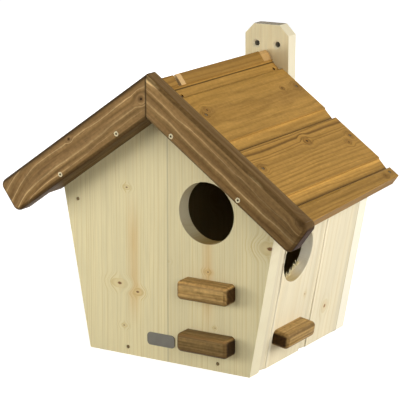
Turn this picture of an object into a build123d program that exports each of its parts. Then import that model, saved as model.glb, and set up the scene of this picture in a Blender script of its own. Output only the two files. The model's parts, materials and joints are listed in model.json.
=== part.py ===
# Squirrel house: a gabled pine nest box with two round entrances, climbing steps and a stained roof.
# It hangs on a board at the back, and its left wall swings out for cleaning.
# Millimetres. X points right seen from the front, Y to the back, Z up.
# The origin lies on the ground under the middle of the overall box.
import os
from math import cos, radians, sin, sqrt, tan

from build123d import *

# Body panels
base_width = 212.0  # panels at the bottom edge
wall_lean = 10.2  # degrees, sides lean outward going up
gable_height = 301.0  # panel apex above the ground
panel_thickness = 20.0
floor_thickness = 18.0

# Profile boards of the roof and the walls: a flat face, a sloping recess, then a tongue
board_thickness = 14.0
recess_width = 16.0
recess_step = 1.5  # drop where the face ends
recess_depth = 4.5  # deepest, beside the next board
tongue_shoulder = 0.6
tongue_thickness = 4.0
tongue_length = 7.0
tongue_clearance = 0.3
edge_ease = 0.8  # small bevel on the grooved edge
wall_board_cover = 92.0
roof_board_cover = 88.0

# Roof
roof_pitch = 35.7  # degrees
top_strip_width = 24.0
eave_strip_front = 24.5  # the eave strips are cut narrower towards the back
eave_strip_rear = 15.0
ridge_strip_thickness = 14.0
ridge_seat = 7.1  # how deep the ridge strip sits below the board faces
ridge_overhang = 3.2  # past the ridge line
ridge_clearance = 0.4
ridge_front_block_length = 38.5
ridge_front_gap = 5.5
ridge_rear_block_length = 20.5

# Barge boards and the battens that carry them
barge_width = 40.0
barge_thickness = 19.0
barge_rise = 13.8  # above the roof board faces
barge_end = 236.0  # from the ridge along the slope
barge_corner_radius = 8.0
barge_edge_radius = 4.5
batten_depth = 24.0
batten_end = 195.0  # from the ridge along the slope

# Entrances
front_hole_diameter = 70.0
front_hole_x = 50.0
front_hole_height = 179.0
side_hole_diameter = 63.0
side_hole_back = 67.5  # behind the front face
side_hole_height = 130.0  # up the leaning wall

# Climbing steps
front_step_length = 65.0
front_step_height = 22.0
front_step_depth = 20.0
front_step_x = 55.0
upper_step_height = 93.0  # middle of the step
lower_step_height = 33.0
side_step_length = 66.0
side_step_thickness = 18.0
side_step_depth = 20.0
side_step_back = 72.0
side_step_height = 37.0  # up the leaning wall
step_edge_radius = 5.5

# Left wall, which swings on two nails
pivot_below_eave = 24.9  # under the panels' eave corners
left_wall_inset = 9.4
left_wall_roof_gap = 2.7  # least room between the wall's top corner and the roof as it swings
left_wall_ground_gap = 4.0
swing_clearance = 0.8
floor_clearance = 0.5
pivot_fit = 0.05
pivot_depth = 18.0  # nail in the wall
ledger_length = 150.0
ledger_width = 22.0
ledger_thickness = 14.0
ledger_height = 96.0

# Hanging board
hanging_board_width = 59.0
hanging_board_thickness = 18.0
hanging_board_rise = 36.8  # above the ridge
hanging_board_bottom = 30.0
hanging_board_shift = -2.0
hanging_board_chamfer = 12.0
hanging_hole_diameter = 6.5
hanging_countersink = 10.5  # diameter at the board's front face
hanging_hole_spacing = 28.0
hanging_hole_drop = 23.7  # below the top edge

# Label plate, left plain
label_width = 36.5
label_height = 15.0
label_thickness = 1.0
label_corner = 4.6
label_x = -9.0
label_middle = 24.5

# Fasteners
nail_radius = 1.1
nail_head_radius = 2.0
nail_head_thickness = 1.0
nail_length = 38.0
strip_nail_length = 15.0
eave_pin_length = 12.0
ledger_nail_length = 23.0
screw_radius = 1.75
screw_head_radius = 3.5
screw_head_thickness = 2.0
step_screw_length = 32.0
side_screw_length = 26.0
hanging_screw_length = 32.0
hole_clearance = 0.3
hole_end_room = 0.5
pocket_mouth = 3.0  # a pocket opens outward this far above the head
barge_nail_sink = 1.2
roof_nail_from_edge = 30.0
top_strip_nail = 18.6  # from the ridge along the slope
eave_pin = 5.8  # from the eave strip's upper edge, through the tongue
eave_pin_lead = 4.5  # front pins ahead of the front face
right_barge_nail_upper = 53.6  # from the ridge along the slope, hand placed
right_barge_nail_lower = 155.8
left_barge_nail_upper = 61.6
left_barge_nail_lower = 154.5
floor_nail_left = -54.0
floor_nail_right = 65.0
step_screw_spacing = 34.0
hanging_screw_spacing = 30.0
hanging_screw_lower = 70.0
hanging_screw_upper = 210.0
ledger_nail_spacing = 34.0

# Derived lines
pitch = radians(roof_pitch)
lean = radians(wall_lean)
half_base = base_width / 2
ridge_height = gable_height + board_thickness / cos(pitch)  # where the two planes of board faces meet
eave_height = (gable_height - half_base * tan(pitch)) / (1 + tan(lean) * tan(pitch))
eave_half_width = half_base + eave_height * tan(lean)
body_depth = 2 * panel_thickness + 2 * wall_board_cover
overall_depth = barge_thickness + batten_depth + body_depth + hanging_board_thickness
barge_front = -overall_depth / 2
batten_front = barge_front + barge_thickness
front_face = batten_front + batten_depth
front_inner = front_face + panel_thickness
rear_face = front_face + body_depth
rear_inner = rear_face - panel_thickness
tongue_top = recess_depth + tongue_shoulder
tongue_bottom = tongue_top + tongue_thickness
groove_depth = tongue_length + tongue_clearance
groove_low = -tongue_bottom - tongue_clearance
groove_high = -tongue_top + tongue_clearance
batten_height = barge_width - barge_rise - board_thickness
upper_joint = top_strip_width + roof_board_cover
lower_joint = upper_joint + roof_board_cover
pivot_height = eave_height - pivot_below_eave
pivot_x = (left_wall_inset + board_thickness / 2) / cos(lean) - half_base - pivot_height * tan(lean)
pivot_to_roof = (gable_height + pivot_x * tan(pitch) - pivot_height) * cos(pitch)
left_wall_above_pivot = sqrt((pivot_to_roof - left_wall_roof_gap) ** 2 - (board_thickness / 2) ** 2)
hanging_board_top = ridge_height + hanging_board_rise
far = 2 * (base_width + gable_height)  # larger than the house, for trimming and drilling


def prism(points, start, end):
    """Section in X and Z drawn out along Y."""
    face = make_face(Polyline([(x, start, z) for x, z in points], close=True))
    return extrude(face, amount=end - start, dir=(0, 1, 0))


def on_slope(side, down, rise):
    """X and Z of a point down the roof slope and above the board faces; side is 1 right, -1 left."""
    x = down * cos(pitch) + rise * sin(pitch)
    return side * x, ridge_height - down * sin(pitch) + rise * cos(pitch)


def roof_prism(side, points, start, end):
    return prism([on_slope(side, down, rise) for down, rise in points], start, end)


def on_wall(side, back, up, out):
    """Point behind the front face, up the leaning wall and outward from the panel edges."""
    x = half_base + up * sin(lean) + out * cos(lean)
    return side * x, front_face + back, up * cos(lean) - out * sin(lean)


def wall_prism(side, points, low, high):
    """Section seen from above, in distances back and outward, drawn up the leaning wall."""
    face = make_face(Polyline([on_wall(side, back, low, out) for back, out in points], close=True))
    return extrude(face, amount=high - low, dir=(side * sin(lean), 0, cos(lean)))


grooved_edge = [(0, groove_low), (groove_depth, groove_low), (groove_depth, groove_high), (0, groove_high)]


def board_section(cover, tongue, groove):
    """Profile board from its plain or grooved edge to its recessed edge, face at zero."""
    points = [(0, -edge_ease), (edge_ease, 0), (cover - recess_width, 0)]
    points += [(cover - recess_width, -recess_step), (cover, -recess_depth)]
    if tongue:
        tip = cover + tongue_length
        points += [(cover, -tongue_top), (tip, -tongue_top), (tip, -tongue_bottom), (cover, -tongue_bottom)]
    points += [(cover, -board_thickness), (0, -board_thickness)]
    return points + grooved_edge if groove else points


def fastener(point, direction, radius, head_radius, head_thickness, length):
    """Nail or screw with its head's outer face at the point."""
    shank = Pos(0, 0, length / 2) * Cylinder(radius, length)
    head = Pos(0, 0, head_thickness / 2) * Cylinder(head_radius, head_thickness)
    return Plane(origin=point, z_dir=direction) * (head + shank)


def pocket(point, direction, radius, head_radius, head_thickness, length):
    """Room for a fastener: the head seats on the pocket floor and the pocket opens outward."""
    depth = length + hole_end_room
    shank = Pos(0, 0, depth / 2) * Cylinder(radius + hole_clearance, depth)
    head = Pos(0, 0, (head_thickness - pocket_mouth) / 2)
    head = head * Cylinder(head_radius + hole_clearance, head_thickness + pocket_mouth)
    return Plane(origin=point, z_dir=direction) * (head + shank)


def nail_set(places, length):
    """Nails and their pockets for a list of points and directions."""
    size = (nail_radius, nail_head_radius, nail_head_thickness, length)
    return [fastener(p, d, *size) for p, d in places], [pocket(p, d, *size) for p, d in places]


def screw_set(places, length):
    size = (screw_radius, screw_head_radius, screw_head_thickness, length)
    return [fastener(p, d, *size) for p, d in places], [pocket(p, d, *size) for p, d in places]


def cut(body, tools):
    for tool in tools:
        body = body - tool
    return body


parts = {}


def keep(name, body):
    parts[name] = body


# Fasteners first, so that every piece they pass through gets its pocket.
roof_places, strip_places, eave_places = [], [], []
for side in (1, -1):
    into = (-side * sin(pitch), 0, -cos(pitch))
    strip_drop = recess_depth if side == 1 else ridge_seat
    for y in (front_face + panel_thickness / 2, rear_face - panel_thickness / 2):
        x, z = on_slope(side, top_strip_nail, -strip_drop)
        strip_places.append(((x, y, z), into))
        for joint in (top_strip_width, upper_joint):
            x, z = on_slope(side, joint + roof_nail_from_edge, 0)
            roof_places.append(((x, y, z), into))
    for y in (front_face - eave_pin_lead, rear_face - panel_thickness / 2):
        x, z = on_slope(side, lower_joint + eave_pin, 0)
        eave_places.append(((x, y, z), into))
roof_nails, roof_pockets = nail_set(roof_places, nail_length)
strip_nails, strip_pockets = nail_set(strip_places, strip_nail_length)
eave_pins, eave_pockets = nail_set(eave_places, eave_pin_length)
roof_pockets += strip_pockets + eave_pockets

barge_places = []
barge_spots = [(1, right_barge_nail_upper), (1, right_barge_nail_lower)]
barge_spots += [(-1, left_barge_nail_upper), (-1, left_barge_nail_lower)]
for side, down in barge_spots:
    x, z = on_slope(side, down, -board_thickness - batten_height / 2)
    barge_places.append(((x, barge_front + barge_nail_sink, z), (0, 1, 0)))
barge_nails, barge_pockets = nail_set(barge_places, nail_length)

floor_places = []
for x in (floor_nail_left, floor_nail_right):
    floor_places.append(((x, front_face, floor_thickness / 2), (0, 1, 0)))
    floor_places.append(((x, rear_face, floor_thickness / 2), (0, -1, 0)))
floor_nails, floor_pockets = nail_set(floor_places, nail_length)

pivot_places = [((pivot_x, front_face, pivot_height), (0, 1, 0))]
pivot_places += [((pivot_x, rear_face, pivot_height), (0, -1, 0))]
pivot_nails, pivot_pockets = nail_set(pivot_places, panel_thickness + swing_clearance + pivot_depth)

step_places = []
for height in (upper_step_height, lower_step_height):
    for offset in (-step_screw_spacing / 2, step_screw_spacing / 2):
        step_places.append(((front_step_x + offset, front_inner, height), (0, -1, 0)))
step_screws, step_pockets = screw_set(step_places, step_screw_length)

side_places = []
for offset in (-step_screw_spacing / 2, step_screw_spacing / 2):
    inside = on_wall(1, side_step_back + offset, side_step_height, -board_thickness)
    side_places.append((inside, (cos(lean), 0, -sin(lean))))
side_screws, side_pockets = screw_set(side_places, side_screw_length)

hanging_places = []
for height in (hanging_screw_lower, hanging_screw_upper):
    for offset in (-hanging_screw_spacing / 2, hanging_screw_spacing / 2):
        point = (hanging_board_shift + offset, rear_face + hanging_board_thickness, height)
        hanging_places.append((point, (0, -1, 0)))
hanging_screws, hanging_pockets = screw_set(hanging_places, hanging_screw_length)

# Front and back panels: two boards each, joined on the middle line.
half_panel = [(0, 0), (half_base, 0), (eave_half_width, eave_height), (0, gable_height)]
panel_pockets = roof_pockets + floor_pockets + pivot_pockets + step_pockets
entrance = Pos(front_hole_x, front_face, front_hole_height) * Rot(X=90)
entrance = entrance * Cylinder(front_hole_diameter / 2, far)
for side, name in ((1, "right"), (-1, "left")):
    outline = [(side * x, z) for x, z in half_panel]
    keep(f"front_{name}_board", cut(prism(outline, front_face, front_inner), panel_pockets + [entrance]))
    keep(f"back_{name}_board", cut(prism(outline, rear_inner, rear_face), panel_pockets + hanging_pockets))

# Floor between the panels and the walls.
left_inner = (left_wall_inset + board_thickness) / cos(lean) + floor_clearance
right_inner = board_thickness / cos(lean)
spread = floor_thickness * tan(lean)
floor_outline = [(left_inner - half_base, 0), (half_base - right_inner, 0)]
floor_outline += [(half_base - right_inner + spread, floor_thickness)]
floor_outline += [(left_inner - half_base - spread, floor_thickness)]
keep("floor_board", cut(prism(floor_outline, front_inner, rear_inner), floor_pockets))

# Right wall: two upright profile boards under the roof, recessed edges towards the front.
under_roof = prism([(0, 0), (gable_height / tan(pitch), 0), (0, gable_height)], -far, far)
side_hole_middle = on_wall(1, side_hole_back, side_hole_height, 0)
side_entrance = Plane(origin=side_hole_middle, z_dir=(cos(lean), 0, -sin(lean)))
side_entrance = side_entrance * Cylinder(side_hole_diameter / 2, far)
wall_blank_low, wall_blank_high = -board_thickness, gable_height
front_section = board_section(wall_board_cover, False, True)
rear_section = board_section(wall_board_cover, True, False)
front_edge = panel_thickness + wall_board_cover
rear_edge = front_edge + wall_board_cover
for name, edge, section in (("front", front_edge, front_section), ("rear", rear_edge, rear_section)):
    points = [(edge - along, out) for along, out in section]
    board = wall_prism(1, points, wall_blank_low, wall_blank_high) & under_roof
    keep(f"right_wall_{name}_board", cut(board, side_pockets + [side_entrance]))

# Left wall: the same boards set back between the panels, with a ledger inside.
pivot_up_wall = pivot_height / cos(lean) - (left_wall_inset + board_thickness / 2) * tan(lean)
left_top = pivot_up_wall + left_wall_above_pivot
above_ground = Pos(0, 0, far / 2 + left_wall_ground_gap) * Box(2 * far, 2 * far, far)
pivot_bores = []
for point, direction in pivot_places:
    bore_length = 2 * (panel_thickness + swing_clearance + pivot_depth + hole_end_room)
    pivot_bores.append(Plane(origin=point, z_dir=direction) * Cylinder(nail_radius + pivot_fit, bore_length))
ledger_places = []
ledger_inner = left_wall_inset + board_thickness + ledger_thickness
for middle in (front_edge - wall_board_cover / 2, front_edge + wall_board_cover / 2):
    for offset in (-ledger_nail_spacing / 2, ledger_nail_spacing / 2):
        point = on_wall(-1, middle + offset, ledger_height, -ledger_inner)
        ledger_places.append((point, (-cos(lean), 0, -sin(lean))))
ledger_nails, ledger_pockets = nail_set(ledger_places, ledger_nail_length)
left_front = board_section(wall_board_cover - swing_clearance, False, True)
left_rear = board_section(wall_board_cover - swing_clearance, True, False)
left_rear_edge = rear_edge - swing_clearance
for name, edge, section in (("front", front_edge, left_front), ("rear", left_rear_edge, left_rear)):
    points = [(edge - along, out - left_wall_inset) for along, out in section]
    board = wall_prism(-1, points, wall_blank_low, left_top) & above_ground
    keep(f"left_wall_{name}_board", cut(board, pivot_bores + ledger_pockets))
ledger_near = front_edge - ledger_length / 2
ledger_outline = [(ledger_near, ledger_thickness - ledger_inner), (ledger_near, -ledger_inner)]
ledger_outline += [(ledger_near + ledger_length, -ledger_inner)]
ledger_outline += [(ledger_near + ledger_length, ledger_thickness - ledger_inner)]
ledger = wall_prism(-1, ledger_outline, ledger_height - ledger_width / 2, ledger_height + ledger_width / 2)
keep("left_wall_ledger", cut(ledger, ledger_pockets))

# Roof boards: each slope has a top strip, two whole boards and a tapered eave strip.
strip_section = board_section(top_strip_width, True, False)
whole_section = board_section(roof_board_cover, True, True)
above_seat = [on_slope(-1, far, -ridge_seat), on_slope(-1, -far, -ridge_seat), (-far, far + gable_height)]
seat_tool = prism(above_seat, -far, far)
eave_widest = max(eave_strip_front, eave_strip_rear)
eave_section = [(0, -edge_ease), (edge_ease, 0), (eave_widest, 0)]
eave_section += [(eave_widest, -board_thickness), (0, -board_thickness)] + grooved_edge
taper_corners = [(eave_strip_front, batten_front), (eave_strip_rear, rear_face)]
taper_corners += [(far, rear_face), (far, batten_front)]
for side, name in ((1, "right"), (-1, "left")):
    if side == 1:
        points = [on_slope(1, down, rise) for down, rise in strip_section[2:-1]]
        strip = prism([(0, gable_height), (0, ridge_height)] + points, batten_front, rear_face) - seat_tool
    else:
        low, high = (top_strip_width, -board_thickness), (top_strip_width, -ridge_seat)
        crown = (0, ridge_height - ridge_seat / cos(pitch))
        outline = [(0, gable_height), crown, on_slope(-1, *high), on_slope(-1, *low)]
        strip = prism(outline, batten_front, rear_face)
    keep(f"roof_{name}_top_strip", cut(strip, roof_pockets))
    for label, start in (("upper", top_strip_width), ("lower", upper_joint)):
        points = [(start + down, rise) for down, rise in whole_section]
        board = roof_prism(side, points, batten_front, rear_face)
        keep(f"roof_{name}_{label}_board", cut(board, roof_pockets))
    points = [(lower_joint + down, rise) for down, rise in eave_section]
    strip = roof_prism(side, points, batten_front, rear_face)
    taper = []
    for width, y in taper_corners:
        x, z = on_slope(side, lower_joint + width, board_thickness)
        taper.append((x, y, z))
    taper = make_face(Polyline(taper, close=True))
    strip = strip - extrude(taper, amount=far, dir=(-side * sin(pitch), 0, -cos(pitch)))
    keep(f"roof_{name}_eave_strip", cut(strip, roof_pockets))

# Ridge: a strip let into the left slope, with a short block at each end.
ridge_section = [(top_strip_width - ridge_clearance, -ridge_seat), (-ridge_overhang, -ridge_seat)]
ridge_section += [(along, ridge_strip_thickness - ridge_seat) for along, _ in reversed(ridge_section)]
front_block_end = batten_front + ridge_front_block_length
rear_block_start = rear_face - ridge_rear_block_length
keep("ridge_front_block", roof_prism(-1, ridge_section, batten_front, front_block_end))
keep("ridge_strip", roof_prism(-1, ridge_section, front_block_end + ridge_front_gap, rear_block_start))
keep("ridge_rear_block", roof_prism(-1, ridge_section, rear_block_start, rear_face))

# Gable battens under the roof overhang, and the barge boards nailed to them.
batten_top, batten_low = -board_thickness, -board_thickness - batten_height
for side, name in ((1, "right"), (-1, "left")):
    section = [(-batten_top * tan(pitch), batten_top), (batten_end, batten_top)]
    section += [(batten_end, batten_low), (-batten_low * tan(pitch), batten_low)]
    batten = roof_prism(side, section, batten_front, front_face)
    keep(f"gable_batten_{name}", cut(batten, barge_pockets))
    section = [(-barge_rise * tan(pitch), barge_rise), (barge_end, barge_rise)]
    section += [(barge_end, batten_low), (-batten_low * tan(pitch), batten_low)]
    barge = roof_prism(side, section, barge_front, batten_front)
    corners = barge.edges().filter_by(Axis.Y).sort_by(Axis.X)
    barge = fillet(corners[-2:] if side == 1 else corners[:2], barge_corner_radius)
    rim = barge.faces().sort_by(Axis.Y)[0].edges()
    barge = fillet([e for e in rim if abs(e.center().X) > barge_corner_radius], barge_edge_radius)
    keep(f"barge_board_{name}", cut(barge, barge_pockets))

# Climbing steps.
for name, height in (("upper", upper_step_height), ("lower", lower_step_height)):
    step = Pos(front_step_x, front_face - front_step_depth / 2, height)
    step = step * Box(front_step_length, front_step_depth, front_step_height)
    rounded = [e for e in step.edges() if e.center().Y < front_face - step_edge_radius / 2]
    keep(f"front_step_{name}", cut(fillet(rounded, step_edge_radius), step_pockets))
side_frame = Plane(
    origin=on_wall(1, side_step_back, side_step_height, 0), x_dir=(0, 1, 0), z_dir=(cos(lean), 0, -sin(lean))
)
side_step = Pos(0, 0, side_step_depth / 2) * Box(side_step_length, side_step_thickness, side_step_depth)
rounded = [e for e in side_step.edges() if e.center().Z > step_edge_radius / 2]
keep("side_step", cut(side_frame * fillet(rounded, step_edge_radius), side_pockets))

# Hanging board behind the back panel.
low_x = hanging_board_shift - hanging_board_width / 2
high_x = hanging_board_shift + hanging_board_width / 2
shoulder = hanging_board_top - hanging_board_chamfer
outline = [(low_x, hanging_board_bottom), (high_x, hanging_board_bottom), (high_x, shoulder)]
outline += [(high_x - hanging_board_chamfer, hanging_board_top)]
outline += [(low_x + hanging_board_chamfer, hanging_board_top), (low_x, shoulder)]
hanging_board = cut(prism(outline, rear_face, rear_face + hanging_board_thickness), hanging_pockets)
hanging_hole_height = hanging_board_top - hanging_hole_drop
for offset in (-hanging_hole_spacing / 2, hanging_hole_spacing / 2):
    drill = Pos(hanging_board_shift + offset, rear_face, hanging_hole_height) * Rot(X=90)
    hanging_board = hanging_board - drill * Cylinder(hanging_hole_diameter / 2, far)
    sink = (hanging_countersink - hanging_hole_diameter) / 2
    sink_cone = Cone(hanging_hole_diameter / 2, hanging_countersink / 2, sink)
    hanging_board = hanging_board - drill * Pos(0, 0, -sink / 2) * sink_cone
keep("hanging_board", hanging_board)

# Label plate on the front panel.
label = Pos(label_x, front_face - label_thickness / 2, label_middle)
label = label * Box(label_width, label_thickness, label_height)
keep("label_plate", fillet(label.edges().filter_by(Axis.Y), label_corner))

# Fastener groups, one node for each kind and use.
keep("roof_nails", Compound(roof_nails))
keep("strip_nails", Compound(strip_nails))
keep("eave_pins", Compound(eave_pins))
keep("barge_nails", Compound(barge_nails))
keep("floor_nails", Compound(floor_nails))
keep("pivot_nails", Compound(pivot_nails))
keep("ledger_nails", Compound(ledger_nails))
keep("front_step_screws", Compound(step_screws))
keep("side_step_screws", Compound(side_screws))
keep("hanging_board_screws", Compound(hanging_screws))

os.makedirs("parts", exist_ok=True)
for name, body in parts.items():
    export_step(body, f"parts/{name}.step")
print(len(parts), "nodes written")
print("front face", round(front_face, 3), "rear face", round(rear_face, 3))
print("pivot", round(pivot_x, 3), round(pivot_height, 3), "above it", round(left_wall_above_pivot, 3))
print("hanging holes at height", round(hanging_hole_height, 3))
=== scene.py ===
# %% [markdown]
# # A pine squirrel house, dressed for its photograph
# The house is nailed together from planed pine: bare boards for the body, brown stained boards for the roof and
# the steps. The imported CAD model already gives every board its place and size. This lesson turns each solid into
# a piece of wood: eased edges, growth rings that run through the board, knots, torn fibres, nails and screws.

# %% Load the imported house
import json
import math
import random

import bmesh
import bpy
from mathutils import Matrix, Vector


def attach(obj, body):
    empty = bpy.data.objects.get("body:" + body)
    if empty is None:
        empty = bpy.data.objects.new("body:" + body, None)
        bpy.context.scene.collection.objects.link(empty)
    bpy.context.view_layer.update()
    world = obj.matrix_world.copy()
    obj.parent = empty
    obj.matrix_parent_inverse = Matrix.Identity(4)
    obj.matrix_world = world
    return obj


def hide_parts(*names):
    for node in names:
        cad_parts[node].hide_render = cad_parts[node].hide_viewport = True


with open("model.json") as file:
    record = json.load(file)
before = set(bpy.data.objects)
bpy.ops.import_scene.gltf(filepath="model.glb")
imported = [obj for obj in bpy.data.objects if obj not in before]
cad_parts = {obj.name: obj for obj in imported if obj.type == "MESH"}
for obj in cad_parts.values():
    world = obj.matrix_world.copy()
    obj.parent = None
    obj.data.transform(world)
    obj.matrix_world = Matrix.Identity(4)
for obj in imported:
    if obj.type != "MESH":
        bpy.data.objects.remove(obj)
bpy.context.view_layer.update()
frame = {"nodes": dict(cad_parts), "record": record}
scene = bpy.context.scene

# %% [markdown]
# ## The slopes that everything is measured on
# A carpenter measures a roof along its slope and a leaning wall along its lean, not in X and Z. Sizes are kept in
# millimetres, as on a drawing. Directions come in pairs, 1 for the right side of the house and -1 for the left.

# %% Sizes and directions
MM = 0.001
PITCH = math.radians(35.7)
LEAN = math.radians(10.2)
RIDGE = 318.24  # where the two planes of the roof's faces meet
HALF_BASE = 106.0
FRONT, REAR = -99.5, 124.5  # outer faces of the front and the back panel
BARGE_FRONT = -142.5
PANEL, WALL_BOARD, HANGING_BOARD = 20.0, 14.0, 18.0  # thicknesses
ENTRANCE_X, ENTRANCE_Z, ENTRANCE_RADIUS = 50.0, 179.0, 35.0
SIDE_ENTRANCE_BACK, SIDE_ENTRANCE_UP, SIDE_ENTRANCE_RADIUS = 67.5, 130.0, 31.5
FRONT_LINE, REAR_LINE = FRONT + 10, REAR - 10  # lines of roof nails, over the two panels
UPPER_ROW, LOWER_ROW = 54, 142  # rows of roof nails, down the slope

SIDES = (1, -1)
RIGHT, BACK, UP = Vector((1, 0, 0)), Vector((0, 1, 0)), Vector((0, 0, 1))
DOWN_ROOF = {side: Vector((side * math.cos(PITCH), 0, -math.sin(PITCH))) for side in SIDES}
OFF_ROOF = {side: Vector((side * math.sin(PITCH), 0, math.cos(PITCH))) for side in SIDES}
UP_WALL = {side: Vector((side * math.sin(LEAN), 0, math.cos(LEAN))) for side in SIDES}
OFF_WALL = {side: Vector((side * math.cos(LEAN), 0, -math.sin(LEAN))) for side in SIDES}
print("down the right slope", DOWN_ROOF[1], "up the right wall", UP_WALL[1])

# %% [markdown]
# Small functions turn measurements, also those along a slope or a lean, into points in metres, so that a nail or
# a knot can be placed where it was read on the board.

# %% Points on the roof and on the walls
def at(x, y, z):
    """A point in metres from millimetres."""
    return Vector((x, y, z)) * MM


def on_roof(side, down, y, rise):
    """Down runs along the slope from the ridge, rise is off the slope."""
    x = down * math.cos(PITCH) + rise * math.sin(PITCH)
    z = RIDGE - down * math.sin(PITCH) + rise * math.cos(PITCH)
    return at(side * x, y, z)


def on_wall(side, back, up, out):
    """Back runs from the front face, up runs along the lean, out is off the wall's face."""
    x = HALF_BASE + up * math.sin(LEAN) + out * math.cos(LEAN)
    z = up * math.cos(LEAN) - out * math.sin(LEAN)
    return at(side * x, FRONT + back, z)


print("eave", on_roof(1, 224.5, FRONT, 0), "wall foot", on_wall(1, 0, 0, 0))

# %% [markdown]
# ## The camera
# The photograph was taken from the front right and a little above, with a long lens, so edges that run away from
# us hardly close in. Its place was worked out from the house's own straight edges. The lens is the focal length
# in pixels over the picture's width in pixels, times the width of the sensor.

# %% Camera
PHOTO_PIXELS = 400
FOCAL_PIXELS = 1925.15
LOOK_DOWN, LOOK_LEFT = math.radians(13.665), math.radians(31.367)


def into_scene(name, data):
    """An object for a camera, a lamp or a mesh, linked to the scene."""
    item = bpy.data.objects.new(name, data)
    scene.collection.objects.link(item)
    return item


camera_data = bpy.data.cameras.new("photo_camera")
camera_data.sensor_width = 36.0
camera_data.lens = FOCAL_PIXELS / PHOTO_PIXELS * camera_data.sensor_width
camera_data.clip_end = 20.0
camera = into_scene("photo_camera", camera_data)
camera.location = (1.10574, -1.84425, 0.69006)
camera.rotation_euler = (math.pi / 2 - LOOK_DOWN, 0.0, LOOK_LEFT)
scene.camera = camera
scene.view_settings.view_transform = "Standard"
print("lens", round(camera_data.lens, 1), "mm")

# %% [markdown]
# ## Nodes and colours
# A shader is a small graph of nodes. One function adds a node, sets its options and connects its inputs, and one
# function turns the hex colours that a painter writes into the linear numbers that light is reckoned in.

# %% Helpers for node graphs
def linear(hex_colour):
    """Linear RGBA of an sRGB colour such as #d5c69f."""
    channels = [int(hex_colour[i:i + 2], 16) / 255 for i in (1, 3, 5)]
    return [c / 12.92 if c <= 0.04045 else ((c + 0.055) / 1.055) ** 2.4 for c in channels] + [1.0]


def feed(tree, value, socket):
    """Puts a plain value on a socket, or links it to an output. A node stands for its first output."""
    if isinstance(value, bpy.types.Node):
        value = value.outputs[0]
    if isinstance(value, bpy.types.NodeSocket):
        tree.links.new(value, socket)
    else:
        socket.default_value = value


def add(tree, kind, inputs=(), **settings):
    """Adds a node, a shader node unless its kind says otherwise. Inputs are a list, or a map from sockets."""
    node = tree.nodes.new(kind if "Node" in kind else "ShaderNode" + kind)
    for name, value in settings.items():
        setattr(node, name, value)
    pairs = inputs.items() if isinstance(inputs, dict) else enumerate(inputs)
    for key, value in pairs:
        feed(tree, value, node.inputs[key])
    return node


def blank_material(name):
    """A material with an empty node tree, and that tree."""
    material = bpy.data.materials.new(name)
    material.use_nodes = True
    material.node_tree.nodes.clear()
    return material, material.node_tree


print("bare pine in linear light", [round(c, 3) for c in linear("#e7dab3")])

# %% [markdown]
# ## Light, floor and background
# The picture is a bright studio shot on white. The world adds a little light from everywhere, and shows plain
# white to the camera, also in a mirror or through glass. The light path tells the two apart.

# %% World
def seen_directly(tree):
    """1 for rays that show a thing to the camera, 0 for rays that only carry its light."""
    rays = add(tree, "LightPath").outputs
    seen = add(tree, "Math", [rays["Is Camera Ray"], rays["Is Glossy Ray"]], operation="MAXIMUM")
    return add(tree, "Math", [seen, rays["Is Transmission Ray"]], operation="MAXIMUM")


WHITE = (1, 1, 1, 1)

scene.world = bpy.data.worlds.new("white_studio")
scene.world.use_nodes = True
sky = scene.world.node_tree
sky.nodes.clear()
room = add(sky, "Background", {"Color": linear("#fffdf8"), "Strength": 0.08})
white = add(sky, "Background", {"Color": WHITE, "Strength": 1.0})
both = add(sky, "MixShader", [seen_directly(sky), room, white])
add(sky, "OutputWorld", {"Surface": both})
print("world", scene.world.name)

# %% [markdown]
# A soft lamp stands near at the left, so the front panel is lighter at its left and the steps throw short shadows
# to the right. One far in front fills the panel, one at the front right reaches into the side entrance, and a
# broad one at the right makes the side wall the brightest face. The fifth, behind, only shows the back when the
# camera goes round.

# %% Lamps
def soft_lamp(name, place, aim, size, watts):
    """A round lamp in metres and watts. The wider it is, the softer its shadows."""
    data = bpy.data.lights.new(name, "AREA")
    data.shape = "DISK"
    data.size = size
    data.energy = watts
    lamp = into_scene(name, data)
    lamp.location = place
    lamp.rotation_euler = (Vector(aim) - Vector(place)).to_track_quat("-Z", "Y").to_euler()


middle = (0.0, -0.05, 0.18)
soft_lamp("lamp_left", (-0.8, -0.75, 0.2), middle, 0.5, 5.0)
soft_lamp("lamp_front", (-0.6, -1.95, 0.6), middle, 0.8, 10.2)
soft_lamp("lamp_front_right", (1.05, -1.05, 0.62), middle, 0.7, 5.6)
soft_lamp("lamp_right", (1.75, 0.3, 0.75), middle, 1.2, 27.6)
soft_lamp("lamp_behind", (-1.3, 1.4, 0.8), (0.0, 0.05, 0.18), 1.0, 16.0)

# %% [markdown]
# The floor is a pale sheet. Seen directly it should be as white as the background, yet keep the soft shadow
# under the house. So the camera sees a diffuse surface, which takes the shadow, and a glow that grows with the
# distance from the house. Only the diffuse surface throws light back on the wood.

# %% Floor
sheet, tree = blank_material("studio_paper")  # matt white card
paper = add(tree, "BsdfDiffuse", {"Color": linear("#b4b3b0")})
away = add(tree, "TexCoord").outputs["Object"]
away = add(tree, "VectorMath", [away], operation="LENGTH").outputs["Value"]
away = add(tree, "MapRange", [away, 0.3, 1.6, 0.86, 1.0])
glow = add(tree, "Emission", {"Color": WHITE, "Strength": away})
lit = add(tree, "AddShader", [paper, glow])
shown = add(tree, "MixShader", [seen_directly(tree), paper, lit])
add(tree, "OutputMaterial", {"Surface": shown})
floor_data = bpy.data.meshes.new("studio_floor")
floor_data.from_pydata([(-4, -4, 0), (4, -4, 0), (4, 4, 0), (-4, 4, 0)], [], [(0, 1, 2, 3)])
floor_data.materials.append(sheet)
floor = into_scene("studio_floor", floor_data)
print("floor at", floor_data.vertices[0].co.z)

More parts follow.
